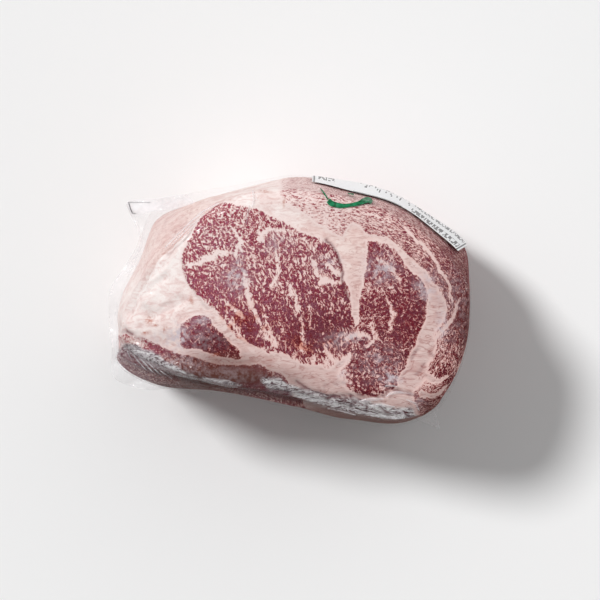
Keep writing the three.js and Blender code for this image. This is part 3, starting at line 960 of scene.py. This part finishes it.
def buildLabel(material):
    tree = material.node_tree
    sheet = addNode(tree, "Attribute", {}, out="Vector", attribute_name="sheet")
    x, y = (addNode(tree, "SeparateXYZ", {0: sheet}, out=axis) for axis in ("X", "Y"))

    def join(operation, *parts):
        # parts of the pattern joined two by two
        whole = parts[0]
        for part in parts[1:]:
            whole = addNode(tree, "Math", {0: whole, 1: part}, operation=operation)
        return whole

    def between(value, low, high):
        return join("MULTIPLY", join("GREATER_THAN", value, low), join("LESS_THAN", value, high))

    # bars of uneven length in rows, as plain stand-ins for the print
    cell = addNode(tree, "VectorMath", {0: sheet, 1: (140, 9, 1)}, operation="MULTIPLY")
    cell = addNode(tree, "VectorMath", {0: cell}, operation="FLOOR")
    chance = addNode(tree, "TexWhiteNoise", {"Vector": cell}, out="Value")
    many = join("GREATER_THAN", chance, 0.4)
    few = join("GREATER_THAN", chance, 0.82)
    rows = addNode(tree, "Math", {0: join("MULTIPLY", y, 3.0)}, operation="FRACT")
    parts = [
        join("MULTIPLY", many, between(rows, 0.3, 0.85), between(x, 0.03, 0.4), between(y, 0.05, 0.95)),
        join("MULTIPLY", few, between(x, 0.42, 0.72), between(y, 0.3, 0.75)),
        join("MULTIPLY", many, between(x, 0.87, 0.965), between(y, 0.3, 0.75)),
        between(x, 0.012, 0.022),
        between(x, 0.984, 0.994),
        join("MULTIPLY", between(y, 0.965, 0.99), between(x, 0.45, 0.75)),
    ]
    fibre = addNode(tree, "TexNoise", {"Vector": sheet, "Scale": 60.0, "Detail": 3.0})
    paper = addNode(tree, "ValToRGB", {0: fibre}, stops=[(0.3, "#eeeef0"), (0.7, "#f8f8f9")])
    colour = addNode(tree, "Mix", {0: join("MAXIMUM", *parts), 6: paper, 7: "#3a3a3c"}, **inColour)
    shader = addNode(tree, "BsdfPrincipled", {"Base Color": colour, "Roughness": 0.4, "Coat Weight": 0.3,
                                              "Coat Roughness": 0.15})
    addNode(tree, "OutputMaterial", {"Surface": shader})


# white coated paper with plain dark bars
labelMaterial = newMaterial("printed white label")
buildLabel(labelMaterial)
makePiece(labelMesh, labelPlace, labelMaterial, node="label")

# Print on the film, as ribbons that lie just over it: points in the plan and half width
filmTop = filmPlace[drop < 2.6]


def ribbonOn(bm, path, surface, lift, crest):
    # a narrow strip along a path, laid on the nearest places of a surface, with a crest along its middle
    points = np.array(path, dtype=float)
    steps = (len(points) - 1) * 8
    fine, slope = curveAt(points, np.arange(steps + 1) / 8, closed=False)
    side = outwardOf(slope[:, :2])
    made = bmesh.ops.create_grid(bm, x_segments=steps, y_segments=4, size=0.5)["verts"]
    for vert in made:
        i = int(round((vert.co.x + 0.5) * steps))
        spot = fine[i, :2] + side[i] * fine[i, 2] * vert.co.y * 2
        near = np.argsort(((surface[:, :2] - spot)**2).sum(1))[:4]
        rise = lift + crest * (1 - abs(vert.co.y * 2)) * fine[i, 2]
        vert.co = (spot[0], spot[1], surface[near, 2].max() + rise)


greenPrint = [
    [(19.5, 77.5, 0.4), (21.5, 74.5, 0.45), (24.5, 69.5, 0.4)],
    [(24.6, 69.2, 1.6), (27, 67, 1.9), (33, 65.6, 1.5), (39, 66, 1.2), (45, 67.4, 1.4), (51, 70.2, 2.3),
     (53.6, 68.0, 1.5)],
    [(38, 74.6, 0.6), (42, 74.0, 0.7)],
]
darkPrint = [
    [(-112, 70.5, 0.3), (-110.8, 66.5, 0.25), (-109.5, 63.0, 0.3)],
    [(-112, 70.6, 0.16), (-106, 70.6, 0.12), (-97, 70.6, 0.1)],
    [(-109.5, 62.8, 0.2), (-107.0, 62.8, 0.15)],
]


def ribbons(name, paths, surface, lift, crest=0):
    bm = bmesh.new()
    for path in paths:
        ribbonOn(bm, path, surface, lift, crest)
    return meshFrom(bm, name)


def makePrint(name, paths, surface, lift, stops, finish):
    mesh = ribbons(name, paths, surface, lift)
    material = newMaterial(finish)
    tree = material.node_tree
    place = addNode(tree, "TexCoord", {}, out="Object")
    patch = addNode(tree, "TexNoise", {"Vector": place, "Scale": 500.0, "Detail": 2.0})  # 2 mm apart
    colour = addNode(tree, "ValToRGB", {0: patch}, stops=stops)
    shader = addNode(tree, "BsdfPrincipled", {"Base Color": colour, "Roughness": 0.5,
                                              "Specular IOR Level": 0.2})
    addNode(tree, "OutputMaterial", {"Surface": shader})
    makePiece(mesh, readPlaces(mesh), material)


# opaque green ink, uneven where the film shrank
makePrint("film_green_mark", greenPrint, filmTop, 0.3, [(0.35, "#064f2c"), (0.6, "#1f8558")],
          "green film ink")
# thin grey ink on the loose edge
makePrint("film_edge_mark", darkPrint, wingPlaces["film_tail_wing"], 0.5,
          [(0.3, "#5a5a5e"), (0.7, "#8a8a8e")], "grey film ink")

# Sharp little folds of the film, their milky white standing in for the glints on them: painted highlights
filmGlintFolds = [
    [(-25.4, 76, 0.5), (-24.8, 70, 0.9), (-25.7, 64.7, 0.4)],
    [(-22.4, 74, 0.3), (-23, 69.3, 0.4)],
    [(-27.7, 66, 0.4), (-28.7, 59.4, 0.6), (-29.7, 52.8, 0.3)],
    [(-84, 38, 0.5), (-70, 52, 0.9), (-60, 61, 1.0), (-48, 67.5, 0.5)],
    [(-79, 40, 0.3), (-68, 51, 0.6), (-57, 61, 0.3)],
    [(-73, 43, 0.3), (-66, 51, 0.5), (-60, 57, 0.3)],
    [(62, -53.5, 0.4), (66, -53.2, 0.7), (70, -54, 0.4)],
    [(43, -64.5, 0.5), (52, -62.6, 1.3), (61, -62, 0.6)],
    [(62.7, -60.7, 0.4), (66, -58.4, 1.0), (72, -57.6, 0.8), (81, -59, 0.4)],
    [(35.6, -68.6, 0.4), (49, -71.5, 0.9), (62, -74, 0.9), (72, -75.5, 0.5)],
    [(68.6, -68.6, 0.4), (74, -71.5, 0.9), (73, -75, 0.9), (65, -74.6, 0.4)],
    [(8, -60.5, 0.3), (20, -63.5, 0.8), (31, -64.5, 0.4)],
    [(24, -69, 0.3), (33, -70.5, 0.7), (43, -73.5, 0.4)],
    [(52, -66.5, 0.3), (60, -66, 0.8), (69, -67.5, 0.4)],
    [(76, -62.5, 0.3), (82, -65, 0.7), (85, -70, 0.4)],
    [(-109.4, -30.5, 0.3), (-107.4, -35, 0.5), (-103.5, -40, 0.3)],
    [(-105.5, -32.5, 0.3), (-102, -37.5, 0.5), (-96.5, -43.5, 0.3)],
    [(-101, -35, 0.3), (-96.5, -40, 0.6), (-90.5, -46.5, 0.3)],
    [(-95.5, -38, 0.3), (-91, -42.5, 0.5), (-85.5, -48, 0.3)],
    [(-89, -42, 0.3), (-84, -46, 0.5), (-78.5, -50.5, 0.3)],
]
# and the strips of it that are pressed milky on the lip over the first bone groove, their white partly
# painted glare
pressedFilm = [
    [(-114, -26, 1.0), (-105.6, -30, 3.8), (-97.7, -33.7, 4.3), (-88.4, -38.6, 3.8), (-79.2, -42.6, 3.0),
     (-68.6, -47.2, 1.6), (-61.4, -49.2, 0.7)],
    [(-61, -49, 0.6), (-50, -50.6, 2.3), (-39, -52.8, 2.3), (-34, -53.4, 0.8)],
]


def makeFolds(name, paths, lift, crest, haze):
    mesh = ribbons(name, paths, filmTop, lift, crest)
    addField(mesh, "haze", np.full(len(mesh.vertices), haze))
    makePiece(mesh, readPlaces(mesh), filmMaterial)


makeFolds("film_fold_glints", filmGlintFolds, 0.1, 0.7, 0.3)
makeFolds("film_on_lip", pressedFilm, 0.3, 0.1, 0.1)

# Camera straight above, as the photograph: 0.66 mm a pixel at the top cut face
shot = {"distance": 2.0, "span": 0.396, "centre": (9 * 0.66, 5 * 0.66), "sensor": 36}
camera = addObject("camera", bpy.data.cameras.new("camera"))
camera.data.sensor_width = shot["sensor"]
camera.data.lens = shot["sensor"] * shot["distance"] / shot["span"]
camera.data.clip_end = 20
over = (np.array(shot["centre"]) + seat) * mm
camera.location = (over[0], over[1], block["height"] * mm + shot["distance"])
bpy.context.scene.camera = camera

# matt white table
floorMaterial = newMaterial("matt white sweep")
floorShader = addNode(floorMaterial.node_tree, "BsdfPrincipled", {"Base Color": "#f2f2f2", "Roughness": 0.95,
                                                                  "Specular IOR Level": 0.1})
addNode(floorMaterial.node_tree, "OutputMaterial", {"Surface": floorShader})
bm = bmesh.new()
bmesh.ops.create_grid(bm, x_segments=1, y_segments=1, size=8)
floorMesh = meshFrom(bm, "floor")
floorMesh.materials.append(floorMaterial)
floor = addObject("floor", floorMesh)
floor.location.z = -0.0002  # just under the block, so that the two never flicker
floor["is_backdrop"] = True

# One soft key from the upper left, and a fill that is brighter from the right
light = {"key": 2.36, "elevation": 54.5, "bearing": 145, "size": 12, "fill": 0.365, "fillLean": 0.9,
         "fillFrom": (1.0, 0.4, 0.0)}
key = addObject("key", bpy.data.lights.new("key", "SUN"))
key.data.energy = light["key"]
key.data.angle = math.radians(light["size"])
high = math.radians(light["elevation"])
turnTo = math.radians(light["bearing"])
toLight = Vector((math.cos(turnTo) * math.cos(high), math.sin(turnTo) * math.cos(high), math.sin(high)))
key.rotation_euler = toLight.to_track_quat("Z", "Y").to_euler()
world = bpy.data.worlds.new("studio")
bpy.context.scene.world = world
world.use_nodes = True
worldTree = world.node_tree
worldTree.nodes.clear()
towards = addNode(worldTree, "TexCoord", {}, out="Generated")
leaning = addNode(worldTree, "VectorMath", {0: towards, 1: light["fillFrom"]}, out="Value",
                  operation="DOT_PRODUCT")
strength = addNode(worldTree, "Math", {0: leaning, 1: light["fill"] * light["fillLean"], 2: light["fill"]},
                   operation="MULTIPLY_ADD")
background = addNode(worldTree, "Background", {"Color": (1, 1, 1, 1), "Strength": strength})
addNode(worldTree, "OutputWorld", {"Surface": background})
bpy.context.scene.view_settings.view_transform = "Standard"

print("camera, floor and light placed")

low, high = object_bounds()
